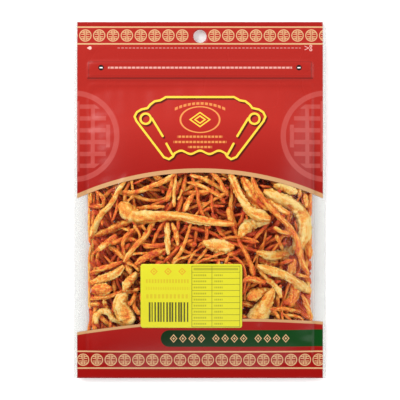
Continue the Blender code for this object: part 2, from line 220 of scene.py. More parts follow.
# The right half of the plaque's outline, from the middle of its top to its foot, in millimetres.
PLAQUE_MM = (
    (0, 81.6), (27, 81.6), (31.5, 79), (36, 78.2), (39.5, 75.5), (41.5, 72.8), (46.5, 71.7), (50, 69.5),
    (51.8, 66), (50.3, 62.5), (28.5, 33.8), (24.5, 32.2), (21.5, 34.2), (20, 36.8),
)
PLAQUE_FOLDS_MM = (((38, 64.5), (29.5, 50.5)), ((26.5, 44.5), (21.8, 36)))
PLAQUE_CURL_MM = (43, 64.3)
PLAQUE_CURL_RADIUS_MM = 4.1
PLAQUE_SHADOW_MM = (1.0, -1.2)
OVAL_Y_MM = 63.6
OVAL_HALF_MM = (15.5, 10.25)
# The plaque's rows of dashes: height and half length.
PLAQUE_ROWS_MM = ((50.0, 18.0), (45.8, 21.0), (41.8, 9.5))

# The label's parts: the middle and the half size of each.
TABLE_MM = ((12.5, -76), (18.9, 24))
HEADING_MM = ((12.5, -54.3), (17.6, 1.0))
BARS_MM = ((-25, -88.3), (15.8, 7.8))
TABLE_PITCH_MM = 4.8
TABLE_DIVIDER_MM = 9.4
# The rows of dashes beside the table: height, half height, pitch and how dark.
LABEL_ROWS_MM = ((-63.8, 1.5, 2.3, 0.45), (-69.6, 1.2, 1.9, 0.3), (-75.8, 1.7, 3.1, 0.4))

# The studio.
SKY_STRENGTH = 0.7
FLOOR_GLOW = 0.18
CAMERA_HEIGHT = 2.006
CAMERA_DISTANCE = 2.0
VIEW_WIDTH = 0.3176
SENSOR_MM = 36
# Each light's place, size and power.
LIGHTS = {
    "key_light": ((-0.85, 0.85, 0.8), 0.9, 21.0),
    "fill_light": ((1.0, 0.2, 0.75), 1.1, 8.0),
    "low_light": ((0.1, -1.25, 0.65), 1.1, 6.0),
}

random.seed(SEED)
noise.seed_set(SEED)


# ---------------------------------------------------------------- heights

class Heights:
    """Heights over the floor on an even grid across the pouch."""

    STEP = 1 * MM

    def __init__(self, values=None):
        self.xs = np.arange(-HALF_WIDTH, HALF_WIDTH + self.STEP / 2, self.STEP)
        self.ys = np.arange(-HALF_LENGTH, HALF_LENGTH + self.STEP / 2, self.STEP)
        self.x, self.y = np.meshgrid(self.xs, self.ys)
        self.z = np.zeros_like(self.x) if values is None else values

    def at(self, x, y):
        """The height at any places, read between the grid's points."""
        column = np.clip((np.asarray(x) + HALF_WIDTH) / self.STEP, 0, len(self.xs) - 1.001)
        row = np.clip((np.asarray(y) + HALF_LENGTH) / self.STEP, 0, len(self.ys) - 1.001)
        left = column.astype(int)
        low = row.astype(int)
        right_share = column - left
        high_share = row - low
        return (
            self.z[low, left] * (1 - right_share) * (1 - high_share)
            + self.z[low, left + 1] * right_share * (1 - high_share)
            + self.z[low + 1, left] * (1 - right_share) * high_share
            + self.z[low + 1, left + 1] * right_share * high_share
        )

    def near(self, x, y, reach):
        """The part of the grid within reach of a place, and its distances from it, squared."""
        columns = slice(*np.searchsorted(self.xs, (x - reach, x + reach)))
        rows = slice(*np.searchsorted(self.ys, (y - reach, y + reach)))
        part = (rows, columns)
        return part, (self.x[part] - x) ** 2 + (self.y[part] - y) ** 2


def tree_of(names):
    """One search tree over several CAD nodes."""
    points = []
    faces = []
    for name in names:
        mesh = frame["nodes"][name].data
        start = len(points)
        points += [v.co.copy() for v in mesh.vertices]
        faces += [[start + i for i in face.vertices] for face in mesh.polygons]
    return BVHTree.FromPolygons(points, faces)


def looked_at(names, from_above, missing):
    """The first surface of some nodes met from above or below at every place."""
    tree = tree_of(names)
    found = Heights()
    start = 0.1 if from_above else -0.1
    way = Vector((0, 0, -1 if from_above else 1))
    just_inside = 1 - 1e-5
    for row in range(found.z.shape[0]):
        for column in range(found.z.shape[1]):
            x = found.xs[column] * just_inside
            y = found.ys[row] * just_inside
            hit = tree.ray_cast(Vector((x, y, start)), way)[0]
            found.z[row, column] = hit.z if hit is not None else missing
    return found


def sides_sum(z):
    """Each point's four neighbours added up."""
    wide = np.pad(z, 1, mode="edge")
    return wide[1:-1, :-2] + wide[1:-1, 2:] + wide[:-2, 1:-1] + wide[2:, 1:-1]


def blurred(z, times):
    for _ in range(times):
        z = (sides_sum(z) + 4 * z) / 8
    return z


def eased(share):
    """A soft step from 0 to 1."""
    share = np.clip(share, 0, 1)
    return share * share * (3 - 2 * share)


def bell(distance, width):
    return np.exp(-(distance / width) ** 2)


def filled_part(x, y):
    """1 well inside the welds and below the zip, 0 on them."""
    across = eased((INNER_HALF - np.abs(x)) / WELD_EASE)
    above = eased((ZIP_LOW[1] - END_EASE - y) / END_EASE)
    below = eased((y - FOOT_LINE) / END_EASE)
    return across * above * below


def noise_sheet(field, size, offset):
    """Smooth noise from -1 to 1 over the grid, with hills about this size."""
    step = 3
    coarse = np.array([
        [noise.noise(Vector((x / size + offset, y / size - offset, offset * 0.7))) for x in field.xs[::step]]
        for y in field.ys[::step]
    ])
    along = np.array([np.interp(field.xs, field.xs[::step], row) for row in coarse])
    return np.array([np.interp(field.ys, field.ys[::step], column) for column in along.T]).T


def wave(place, pitch, turn=0.0):
    return np.sin(place * 2 * np.pi / pitch + turn)


def weld_creases(field):
    """Short creases that run in from the side welds and down from the zip."""
    x, y = field.x, field.y
    from_side = INNER_HALF - np.abs(x)
    side_fade = np.exp(-np.maximum(from_side, 0) / (11 * MM)) * eased(from_side / (2 * MM))
    wander = noise_sheet(field, 34 * MM, 5.3) * 7 * MM
    along = wave(y + wander + 0.25 * np.abs(x), 13.7 * MM)
    along += 0.6 * wave(y - wander - 0.15 * x, 8.3 * MM, 1.1)
    from_zip = ZIP_LOW[1] - y
    zip_fade = np.exp(-np.maximum(from_zip, 0) / (18 * MM)) * eased(from_zip / (12 * MM))
    across = wave(x + 1.4 * wander, 21 * MM)
    across += 0.5 * wave(x - wander, 12.5 * MM, 0.6)
    return SIDE_CREASE * side_fade * along + ZIP_CREASE * zip_fade * across


def embossing(x, y):
    """The pressed lines of the side welds, and the standing edges of the zip strips under the film."""
    side = np.abs(x)
    lines = bell(side - (INNER_HALF + 1.2 * MM), 0.5 * MM)
    lines += 0.7 * bell(side - (HALF_WIDTH - 3.2 * MM), 0.6 * MM)
    ridge = 0.30 * bell(y - (ZIP_LOW[1] + 0.3 * MM), 0.6 * MM)
    ridge += 0.12 * bell(y - (ZIP_LOW[1] + ZIP_HIGH[1]) / 2, 0.6 * MM)
    ridge += 0.2 * bell(y - ZIP_HIGH[1] + 0.2 * MM, 0.7 * MM)
    over_zip = side < INNER_HALF - 1 * MM
    strip_end = bell(side - (INNER_HALF - 1.5 * MM), 0.6 * MM)
    strip_end *= (y > ZIP_LOW[1]) & (y < ZIP_HIGH[1])
    return (0.16 * lines + ridge * over_zip + 0.3 * strip_end) * MM


def without_hole(shape):
    """Fills in the hang hole with the heights beside it, which depend on Y alone."""
    hole = (shape.x**2 + (shape.y - HOLE_Y) ** 2) < (HOLE_RADIUS + 1.5 * MM) ** 2
    shape.z = np.where(hole, shape.z[:, HEADER_COLUMN][:, None], shape.z)
    return shape


def draped_front():
    """The front film: taut over the strands it touches, sagging a little between them."""
    shape = without_hole(looked_at(["front_film"], True, 0.0))
    inside = filled_part(shape.x, shape.y)
    base = shape.z * (1 - inside) + blurred(shape.z, 60) * inside
    strands = looked_at(STRAND_NODES, True, 0.0).z + STRAND_TO_FILM
    slack = (SLACK + SLACK_CHANGE * noise_sheet(shape, 38 * MM, 2.1)) * inside
    hold = np.maximum(base - slack, strands * (inside > 0.5))
    film = base.copy()
    for _ in range(DRAPE_STEPS):
        pulled = np.maximum(sides_sum(film) / 4 - SAG_PER_STEP, hold)
        film = film * (1 - inside) + pulled * inside
    film = np.minimum(blurred(film, 3), base + 0.3 * MM)
    film = film * inside + base * (1 - inside)
    shape.z = film + weld_creases(shape) + embossing(shape.x, shape.y)
    return shape


def rested_back():
    """The back film: flat on the floor under the contents, curving up to the welds."""
    shape = without_hole(looked_at(["back_film"], False, 0.0))
    inside = filled_part(shape.x, shape.y)
    base = shape.z * (1 - inside) + blurred(shape.z, 30) * inside
    off_floor = eased(base / (1.5 * MM))
    shape.z = np.maximum(base - weld_creases(shape) * off_floor, 0)
    return shape


FRONT = draped_front()
BACK = rested_back()
FRONT_EVENED = Heights(blurred(FRONT.z, 20))


# ---------------------------------------------------------------- shader maths

class Wire:
    """A number, colour or vector flowing through a material. Plain sums on it add Math nodes."""

    def __init__(self, maker, socket):
        self.maker = maker
        self.socket = socket

    def math(self, operation, *values, clamp=False):
        settings = {"operation": operation, "use_clamp": clamp}
        return self.maker.node("ShaderNodeMath", settings, dict(enumerate(values)))

    def __add__(self, other):
        return self.math("ADD", self, other)

    __radd__ = __add__

    def __sub__(self, other):
        return self.math("SUBTRACT", self, other)

    def __rsub__(self, other):
        return self.math("SUBTRACT", other, self)

    def __mul__(self, other):
        return self.math("MULTIPLY", self, other)

    __rmul__ = __mul__

    def __truediv__(self, other):
        return self.math("DIVIDE", self, other)

    def __rtruediv__(self, other):
        return self.math("DIVIDE", other, self)

    def __pow__(self, other):
        return self.math("POWER", self, other)

    def __mod__(self, other):
        return self.math("FLOORED_MODULO", self, other)

    def __abs__(self):
        return self.math("ABSOLUTE", self)

    def sine(self):
        return self.math("SINE", self)

    def cosine(self):
        return self.math("COSINE", self)

    def least(self, other):
        return self.math("MINIMUM", self, other)

    def most(self, other):
        return self.math("MAXIMUM", self, other)

    def clamped(self):
        return self.math("ADD", self, 0.0, clamp=True)

    def filled(self, edge=0.25):
        """1 where this distance is below 0 and 0 where it is above, with a soft edge this wide."""
        return self.math("MULTIPLY_ADD", self, -1 / edge, 0.5, clamp=True)


class Material:
    """A material's nodes, with one way to add any of them."""

    def __init__(self, name):
        self.made = bpy.data.materials.new(name)
        self.made.use_nodes = True
        self.tree = self.made.node_tree
        self.tree.nodes.clear()

    def node(self, kind, settings=None, inputs=None, out=0):
        made = self.tree.nodes.new(kind)
        for key, value in (settings or {}).items():
            if key == "stops":
                ramp = made.color_ramp
                while len(ramp.elements) < len(value):
                    ramp.elements.new(0.5)
                for element, (place, colour) in zip(ramp.elements, value):
                    element.position = place
                    element.color = (*colour, 1)
            else:
                setattr(made, key, value)
        for key, value in (inputs or {}).items():
            if isinstance(value, Wire):
                self.tree.links.new(value.socket, made.inputs[key])
            elif isinstance(value, tuple) and len(value) == 3 and len(made.inputs[key].default_value) == 4:
                made.inputs[key].default_value = (*value, 1)
            else:
                made.inputs[key].default_value = value
        return Wire(self, made.outputs[out]) if len(made.outputs) else None

    def principled(self, inputs):
        return self.node("ShaderNodeBsdfPrincipled", None, inputs)

    def noise(self, point, scale, detail):
        return self.node("ShaderNodeTexNoise", None, {"Vector": point, "Scale": scale, "Detail": detail})

    def mixed(self, share, under, over):
        """Colour under, with colour over laid on it where share is 1."""
        return self.node("ShaderNodeMix", {"data_type": "RGBA"}, {0: share, 6: under, 7: over}, out=2)

    def blend(self, share, under, over):
        """Shader under, with shader over in its place where share is 1."""
        return self.node("ShaderNodeMixShader", None, {0: share, 1: under, 2: over})

    def point(self):
        """Where each point of the surface is, in the pouch's own coordinates."""
        return self.node("ShaderNodeTexCoord", out=3)

    def across_mm(self, point):
        """A point's X and Y, in millimetres."""
        split = self.node("ShaderNodeSeparateXYZ", None, {0: point}).socket.node
        return [Wire(self, split.outputs[axis]) / MM for axis in range(2)]

    def surface(self, shader):
        self.node("ShaderNodeOutputMaterial", None, {"Surface": shader})
        return self.made


def span(value, middle, half):
    """How far a value lies outside a span, and below 0 within it."""
    return abs(value - middle) - half


def dashes(value, pitch, half):
    """How far a value lies outside a row of dashes, one to each pitch."""
    return span(value % pitch, pitch / 2, half)


def box_distance(x, y, middle, half):
    return span(x, middle[0], half[0]).most(span(y, middle[1], half[1]))


def length_of(x, y):
    return (x * x + y * y) ** 0.5


def least_of(distances):
    least = distances[0]
    for distance in distances[1:]:
        least = least.least(distance)
    return least


def segment_distance(material, place, start, end):
    """How far a place is from the straight line between two points."""
    length = math.dist(start, end)
    way = ((end[0] - start[0]) / length, (end[1] - start[1]) / length, 0.0)
    kind = "ShaderNodeVectorMath"
    from_start = material.node(kind, {"operation": "SUBTRACT"}, {0: place, 1: (*start, 0.0)})
    along = material.node(kind, {"operation": "DOT_PRODUCT"}, {0: from_start, 1: way}, out=1)
    nearest = material.node(kind, {"operation": "SCALE"}, {0: way, 3: along.most(0.0).least(length)})
    return material.node(kind, {"operation": "DISTANCE"}, {0: from_start, 1: nearest}, out=1)


def path_distance(material, place, corners):
    """How far a place is from a path of straight lines."""
    return least_of([segment_distance(material, place, *ends) for ends in zip(corners, corners[1:])])


# ---------------------------------------------------------------- the film's print

def fret_band(x, y, centre_y, middle, first):
    """A row of round frets between two lines, spread to both sides from its middle."""
    height = abs(y - centre_y)
    side = abs(x - middle)
    u = (side - first + FRET_PITCH_MM / 2) % FRET_PITCH_MM - FRET_PITCH_MM / 2
    far = length_of(u, height)
    across = abs(u)
    bars = least_of([box_distance(across, height, *bar) for bar in FRET_BARS_MM])
    fret = span(far, FRET_RADIUS_MM, 0.36).least((far - FRET_RADIUS_MM).most(bars))
    fret = fret.most(first - FRET_PITCH_MM / 2 - side)
    lines = span(height, BAND_HALF_HEIGHT_MM, 0.55)
    return lines.filled().most(fret.filled())


def side_roundel(x, y):
    """A large pale lattice in a ring on each side, cut off by the pouch's edge."""
    u = abs(x) - ROUNDEL_MM[0]
    v = abs(y - ROUNDEL_MM[1])
    far = length_of(u, v)
    lattice = dashes(v, 9.4, 1.7).most(span(u, -15, 10.5))
    for inward, half_length in ROUNDEL_UPRIGHTS_MM:
        lattice = lattice.least(span(u, -inward, ROUNDEL_HALF_LINE_MM).most(v - half_length))
    return span(far, ROUNDEL_RADIUS_MM, 2.1).least(lattice.most(far - 30)).filled(0.4)


def window_edges(x, y):
    """How far a place is above the window's arched top and below its foot, and the bands along them."""
    far = length_of(x, y - ARC_CENTRE_Y_MM)
    above = ARC_INNER_MM - far
    arc_band = span(far, (ARC_OUTER_MM + ARC_INNER_MM) / 2, (ARC_OUTER_MM - ARC_INNER_MM) / 2)
    below = y - (x * WINDOW_FOOT_SLOPE - x * x * WINDOW_FOOT_BOW + WINDOW_FOOT_Y_MM)
    foot_band = span(below, -1.1, 1.1)
    return above, below, arc_band.least(foot_band).filled(0.3)


def plaque_line(material, x, y):
    """How far a place is from the plaque's line."""
    side = abs(x)
    place = material.node("ShaderNodeCombineXYZ", None, {0: side, 1: y})
    outline = path_distance(material, place, PLAQUE_MM)
    for fold in PLAQUE_FOLDS_MM:
        outline = outline.least(path_distance(material, place, fold))
    curl = length_of(side - PLAQUE_CURL_MM[0], y - PLAQUE_CURL_MM[1])
    scallops = (side * 0.42).cosine() * 1.3 + 37.6
    return outline.least(span(curl, PLAQUE_CURL_RADIUS_MM, 0)).least(abs(y - scallops).most(side - 20))


def plaque(material, x, y, red):
    """A gold-lined scroll with an oval, a nested lozenge and rows of plain dashes."""
    line = plaque_line(material, x, y)
    shadow = plaque_line(material, x - PLAQUE_SHADOW_MM[0], y - PLAQUE_SHADOW_MM[1])
    side = abs(x)
    round_oval = length_of(x / OVAL_HALF_MM[0], (y - OVAL_Y_MM) / OVAL_HALF_MM[1])
    oval = abs(round_oval - 1) * 12 - 0.5
    from_middle = side * 0.72 + abs(y - OVAL_Y_MM)
    diamond = span(from_middle, 5.6, 0.6).least(span(from_middle, 2.9, 0.6))
    rows = span(length_of(x, y - 31), 45.5, 1.0).most(side - 20.5).most(dashes(x, 3.4, 1.2))
    for row_y, half_length in PLAQUE_ROWS_MM:
        rows = rows.least(dashes(x, 2.9, 1.1).most(span(y, row_y, 0.85)).most(side - half_length))
    red = material.mixed((shadow - 1.0).filled(0.9), red, GOLD_SHADOW)
    red = material.mixed((line - 0.85).filled(0.3), red, GOLD)
    red = material.mixed(oval.filled(0.4), red, OVAL_LINE)
    red = material.mixed(diamond.filled(0.3), red, GOLD)
    return material.mixed(rows.filled(0.3) * 0.8, red, OVAL_LINE)


def cut_line(material, x, y, red):
    """The dashed line to cut along, from an arrowhead to a pair of scissors."""
    height = abs(y - CUT_LINE_Y_MM)
    line = dashes(x, 3.0, 0.95).most(height - 0.22).most(span(x, 7, 73)).filled(0.3)
    arrow = (height * 1.6 + abs(x + 87.4) - 2.4).most(x + 86.2).filled(0.3)
    handles = span(length_of(x - 88, height - 1.4), 0.85, 0.25)
    blades = (abs(height + (x - 86.4) * 0.45) - 0.22).most(span(x, 85, 1.9))
    scissors = handles.least(blades).filled(0.3)
    return material.mixed((line * 0.6).most(arrow * 0.9).most(scissors * 0.9), red, PALE_INK)


def zip_marks(material, x, y, red):
    """A dashed rule along the zip, between two dots with a bar in each."""
    side = abs(x)
    rule = dashes(x, 3.4, 1.35).most(span(y, ZIP_MARKS_Y_MM, 0.75)).most(side - 73)
    dot = length_of(side - ZIP_DOT_X_MM, y - ZIP_MARKS_Y_MM) - 2.2
    bar = box_distance(side, y, (ZIP_DOT_X_MM, ZIP_MARKS_Y_MM), (1.2, 0.45))
    red = material.mixed(rule.filled(0.4) * 0.6, red, PALE_INK)
    red = material.mixed(dot.filled(0.3), red, DOT_BLACK)
    return material.mixed(bar.filled(0.3), red, DOT_WHITE)


def capsule(material, x, y, red):
    """The green capsule at the foot, with three groups of open lozenges."""
    height = abs(y - CAPSULE_Y_MM)
    from_end = length_of((CAPSULE_LEFT_MM - x).most(0.0), height)
    shape = (from_end - CAPSULE_RADIUS_MM).most(x - PRINT_HALF_WIDTH_MM)
    green = material.mixed(((x + 30) / 128).clamped(), CAPSULE_DARK, CAPSULE_LIGHT)
    within = (x + 24.5) % 33.4
    from_middle = abs(within % 7.3 - 3.65) + height * 0.85
    lozenge = span(from_middle, 2.5, 0.42).least(from_middle - 0.9)
    lozenge = lozenge.most(within - 29.2).most(span(x, 25, 49))
    red = material.mixed(shape.filled(0.3), red, green)
    return material.mixed(lozenge.filled(0.25), red, CREAM)


def zip_seam_shadow(x, y):
    """How dark the painted shadow of the zip's edges falls on the film."""
    side = abs(x)
    seam_shadow = box_distance(side, y, *ZIP_END_SEAM_SHADOW_MM).filled(0.4) * 0.45
    for middle, half, half_length, strength in ZIP_SEAM_SHADOWS_MM:
        seam_shadow = seam_shadow.most(span(y, middle, half).most(side - half_length).filled(0.4) * strength)
    return seam_shadow


def red_ground(material, x, y, above, shade):
    """The red, with painted light and shade on it: a painted highlight brighter in the panel's middle, and
    painted shade deeper on the top strip, at the window and at the foot.
    """
    # Painted highlight: the red grows lighter towards the panel's middle.
    lit_panel = (1.05 - abs(x) * 0.006 - abs(y - LIT_PANEL_MIDDLE_MM) * 0.012).clamped()
    lit_panel = lit_panel * (y - LIT_PANEL_TOP_MM).filled(1.2)
    red = material.mixed((lit_panel * 0.8 + (shade - 0.5) * 0.5).clamped(), TOP_RED, LIT_MIDDLE_RED)
    # Painted shade: the top strip and the foot are darkened.
    red = material.mixed((TOP_STRIP_Y_MM - y).filled(0.4) * 0.5, red, PAINTED_SHADE_RED)
    red = material.mixed(((-60 - y) / 60).clamped(), red, PAINTED_SHADE_RED)
    # Painted shade where the film curves down beside the window's arch.
    shade_near_window = ((above + 46) / 40).clamped() * (-40 - y).filled(2.0)
    return material.mixed(shade_near_window * 0.8, red, SHADED_WINDOW_RED)


def clear_film(material, x):
    """Film that shows what is behind it, with a gloss that grows as it turns away, frosted at the welds."""
    gloss = material.principled({"Base Color": (1.0, 1.0, 1.0), "Metallic": 1.0, "Roughness": 0.1})
    frost = material.principled({"Base Color": WELD_WHITE, "Roughness": 0.35})
    through = material.node("ShaderNodeBsdfTransparent", None, {"Color": (1.0, 0.995, 0.985)})
    turned = material.node("ShaderNodeLayerWeight", None, {"Blend": 0.5}, out=1)
    glossy = material.blend(turned**4 * 0.25 + 0.005, through, gloss)
    welded = (INNER_HALF / MM - abs(x)).filled(0.4)
    return material.blend(welded * WELD_FROST, glossy, frost)


def film_material(name, is_front):
    """Red print at the header and the foot of a clear film. The back has no small print."""
    material = Material(name)
    point = material.point()
    x, y = material.across_mm(point)
    shade = material.noise(point, 9.0, 2.0)
    above, below, window_bands = window_edges(x, y)
    red = red_ground(material, x, y, above, shade)
    if is_front:
        red = material.mixed(side_roundel(x, y) * 0.46, red, ROUNDEL_PINK)
    top, foot = (fret_band(x, y, *band) for band in BANDS_MM)
    red = material.mixed(top.most(foot), red, CREAM)
    red = material.mixed(window_bands, red, ARC_BEIGE)
    # A painted shadow along the zip's edges.
    seam_shadow = zip_seam_shadow(x, y)
    red = material.mixed(seam_shadow, red, SEAM_PAINTED_SHADOW)
    if is_front:
        for mark in (cut_line, zip_marks, capsule, plaque):
            red = mark(material, x, y, red)
    rough = shade * 0.1 + 0.22 + seam_shadow * 0.3
    ink = material.principled({"Base Color": red, "Roughness": rough, "Specular IOR Level": 0.2})
    printed = (abs(x) - PRINT_HALF_WIDTH_MM).filled(0.3) * above.least(below).filled(0.3)
    return material.surface(material.blend(printed, clear_film(material, x), ink))


# ---------------------------------------------------------------- the other finishes

def label_table(material, x, y, marks):
    """An empty ruled table, with dashes in place of its words and a bar in place of its heading."""
    table = box_distance(x, y, *TABLE_MM)
    row = (y + 100) % TABLE_PITCH_MM - TABLE_PITCH_MM / 2
    ruled = (2.22 - abs(row)).most(table)
    divider = span(x, TABLE_DIVIDER_MM, 0.18).most(table)
    lines = (abs(table) - 0.22).least(ruled).least(divider)
    entries = span(x, -0.2, 5.2).least(span(x, 14.5, 3.4)).most(abs(row) - 0.7)
    entries = entries.most(dashes(x, 1.7, 0.62)).most(table).most(y + 57)
    marks = material.mixed(lines.filled(0.2) * 0.85, marks, TABLE_INK)
    marks = material.mixed(entries.filled(0.3) * 0.5, marks, ENTRY_INK)
    return material.mixed(box_distance(x, y, *HEADING_MM).filled(0.3) * 0.45, marks, HEADING_INK)


def label_marks(material, x, y, marks):
    """Three lozenges, rows of dashes and uneven bars that stand for nothing."""
    lozenge = abs((x + 41.8) % 11.1 - 5.55) + abs(y + 56.2)
    title = span(lozenge, 2.5, 0.5).least(lozenge - 0.9).most(span(x, -25.2, 16))
    marks = material.mixed(title.filled(0.4) * 0.75, marks, LOZENGE_ORANGE)
    for middle, half_height, pitch, strength in LABEL_ROWS_MM:
        row = box_distance(x, y, (-25.8, middle), (17.6, half_height))
        row = row.most(dashes(x + 43, pitch, pitch * 0.3))
        marks = material.mixed(row.filled(0.3) * strength, marks, OCHRE)
    width = (x * 1.9).sine() * 0.21 + (x * 0.73).sine() * 0.15 + 0.62
    bars = (abs((x + 41) % 2.3 - 1.15) - width).most(box_distance(x, y, *BARS_MM))
    return material.mixed(bars.filled(0.25) * 0.92, marks, BAR_BLACK)


def label_material():
    """A yellow sticker with a ruled table on its right and plain marks on its left."""
    material = Material("label_sticker")
    point = material.point()
    x, y = material.across_mm(point)
    cloud = material.noise(point, 35.0, 3.0)
    marks = material.mixed(cloud, *LABEL_YELLOWS)
    marks = label_marks(material, x, y, label_table(material, x, y, marks))
    return material.surface(material.principled(
        {"Base Color": marks, "Roughness": cloud * 0.15 + 0.3, "Specular IOR Level": 0.4}
    ))


def strand_material(name, warmth):
    """Dried strand: pale and waxy on its swollen parts, orange along its stem, with painted shade that turns
    it red-brown in its folds and lighter on its ridges.
    """
    material = Material(name)
    point = material.point()
    tone = material.node("ShaderNodeAttribute", {"attribute_name": "tone"}, out=2)
    fold = material.node("ShaderNodeAttribute", {"attribute_name": "fold"}, out=2)
    patches = material.noise(point, 150.0, 3.0)
    grain = material.noise(point, 900.0, 4.0)
    to_speck = material.node("ShaderNodeTexVoronoi", None, {"Vector": point, "Scale": 520.0})
    speck = (0.26 - to_speck).clamped() * 1.6
    edges = {"feature": "DISTANCE_TO_EDGE"}
    to_crack = material.node("ShaderNodeTexVoronoi", edges, {"Vector": point, "Scale": 620.0})
    crack = (0.16 - to_crack).clamped() * 6.0
    # fold adds painted shade: sunken parts are darkened and raised parts lightened.
    level = tone + (patches - 0.5) * 0.5 + (grain - 0.5) * 0.5 + fold * 0.46 + warmth - speck - crack * 0.2
    colour = material.node("ShaderNodeValToRGB", {"stops": STRAND_COLOURS}, {0: level.clamped()})
    relief = grain + patches * 0.6 - crack * 0.8
    bump = material.node("ShaderNodeBump", None, {"Strength": 0.6, "Distance": 0.4 * MM, "Height": relief})
    return material.surface(material.principled({
        "Base Color": colour, "Roughness": grain * 0.2 + 0.42, "Normal": bump, "Specular IOR Level": 0.3,
        "Subsurface Weight": 0.3, "Subsurface Radius": (1.0, 0.3, 0.1), "Subsurface Scale": 2 * MM,
    }))


def clouded_material(name, low, high, roughness, scale, glow=0.0):
    """An even finish with a faint cloud of colour in it."""
    material = Material(name)
    cloud = material.noise(material.point(), scale, 3.0)
    return material.surface(material.principled({
        "Base Color": material.mixed(cloud, low, high), "Roughness": cloud * 0.1 + roughness,
        "Emission Color": (1.0, 1.0, 1.0), "Emission Strength": glow,
    }))


# ---------------------------------------------------------------- making pieces

def select_only(piece):
    bpy.ops.object.select_all(action="DESELECT")
    piece.select_set(True)
    bpy.context.view_layer.objects.active = piece


def settle(piece):
    """Puts a piece's place into its mesh."""
    select_only(piece)
    bpy.ops.object.transform_apply(location=True, rotation=True, scale=True)


def finish_piece(piece, material, slot, *nodes):
    piece.data.materials.clear()
    piece.data.materials.append(material)
    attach(piece, BODY)
    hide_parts(*nodes)


def points_of(mesh):
    flat = np.empty(len(mesh.vertices) * 3)
    mesh.vertices.foreach_get("co", flat)
    return flat.reshape(-1, 3)


def move_points(mesh, points):
    mesh.vertices.foreach_set("co", points.ravel())
    mesh.update()


def set_value(mesh, name, values):
    """Gives every point of a mesh a named number for its material to read."""
    layer = mesh.attributes.new(name, "FLOAT", "POINT")
    layer.data.foreach_set("value", np.asarray(values, dtype=np.float32))


def joined(pieces, name):
    bpy.ops.object.select_all(action="DESELECT")
    for piece in pieces:
        piece.select_set(True)
    bpy.context.view_layer.objects.active = pieces[0]
    bpy.ops.object.join()
    whole = bpy.context.object
    whole.name = name
    return whole


# ---------------------------------------------------------------- films, label and zip

def flat_sheet(name, faces, centre, size):
    """A flat grid at its size and place."""
    bpy.ops.object.select_all(action="DESELECT")
    bpy.ops.mesh.primitive_grid_add(
        x_subdivisions=faces[0], y_subdivisions=faces[1], size=1, location=(*centre, 0)
    )
    piece = bpy.context.object
    piece.name = name
    piece.scale = (*size, 1)
    settle(piece)
    return piece


def punch_hang_hole(piece):
    """Takes out the faces inside the hang hole and draws its rim round."""
    mesh = bmesh.new()
    mesh.from_mesh(piece.data)
    centre = Vector((0, HOLE_Y, 0))

    def from_centre(point):
        return Vector((point.x, point.y, 0)) - centre

    inner = [face for face in mesh.faces if from_centre(face.calc_center_median()).length < HOLE_RADIUS]
    bmesh.ops.delete(mesh, geom=inner, context="FACES")
    for vertex in mesh.verts:
        out = from_centre(vertex.co)
        if vertex.is_boundary and out.length < HOLE_RADIUS * 1.5:
            vertex.co.xy = (centre + out.normalized() * HOLE_RADIUS).xy
    mesh.to_mesh(piece.data)
    mesh.free()


def thicken(piece, thickness, offset):
    """Gives a sheet its thickness, to one side of it."""
    solid = piece.modifiers.new("thickness", "SOLIDIFY")
    solid.thickness = thickness
    solid.offset = offset
    select_only(piece)
    bpy.ops.object.modifier_apply(modifier=solid.name)
    piece.data.shade_smooth()


def make_film(name, faces, heights, offset, finish, node):
    film = flat_sheet(name, faces, (0, 0), (2 * HALF_WIDTH, 2 * HALF_LENGTH))
    punch_hang_hole(film)
    points = points_of(film.data)
    points[:, 2] = heights.at(points[:, 0], points[:, 1])
    move_points(film.data, points)
    thicken(film, FILM_THICKNESS, offset)
    finish_piece(film, finish, "printed_film", node)


def make_label():
    size = (LABEL_HIGH[0] - LABEL_LOW[0], LABEL_HIGH[1] - LABEL_LOW[1])
    centre = ((LABEL_HIGH[0] + LABEL_LOW[0]) / 2, (LABEL_HIGH[1] + LABEL_LOW[1]) / 2)
    label = flat_sheet("sticker", LABEL_FACES, centre, size)
    points = points_of(label.data)
    for axis, other in ((0, 1), (1, 0)):
        from_end = size[axis] / 2 - np.abs(points[:, axis] - centre[axis])
        round_off = LABEL_CORNER - np.sqrt(np.maximum(LABEL_CORNER**2 - (LABEL_CORNER - from_end) ** 2, 0))
        limit = size[other] / 2 - np.where(from_end < LABEL_CORNER, round_off, 0)
        points[:, other] = centre[other] + np.clip(points[:, other] - centre[other], -limit, limit)
    points[:, 2] = FRONT.at(points[:, 0], points[:, 1]) + LABEL_LIFT
    move_points(label.data, points)
    thicken(label, LABEL_THICKNESS, 1)
    finish_piece(label, label_material(), "label_paper", "label")


def make_zip():
    finish = clouded_material("zip_plastic", (0.68, 0.62, 0.58), (0.8, 0.76, 0.72), 0.35, 60)
    for name in ("zip_ridge_strip", "zip_groove_strip"):
        strip = frame["nodes"][name]
        strip.data.materials.clear()
        strip.data.materials.append(finish)


# ---------------------------------------------------------------- one strand

def strand_template(name, sides, rings):
    """A straight round strand along X, a unit long and a unit in radius, closed at both ends."""
    bpy.ops.object.select_all(action="DESELECT")
    bpy.ops.mesh.primitive_cylinder_add(
        vertices=sides, radius=1, depth=1 / rings, rotation=(0, math.pi / 2, 0), location=(0.5 / rings, 0, 0)
    )
    template = bpy.context.object
    template.name = name
    settle(template)
    bpy.ops.object.mode_set(mode="EDIT")
    bpy.ops.mesh.select_mode(type="FACE")
    bpy.ops.mesh.select_all(action="DESELECT")
    bpy.ops.object.mode_set(mode="OBJECT")
    for face in template.data.polygons:
        face.select = face.normal.x > 0.9
    bpy.ops.object.mode_set(mode="EDIT")
    for _ in range(rings - 1):
        bpy.ops.mesh.extrude_region_move(TRANSFORM_OT_translate={"value": (1 / rings, 0, 0)})
    bpy.ops.mesh.select_all(action="DESELECT")
    bpy.ops.object.mode_set(mode="OBJECT")
    return template


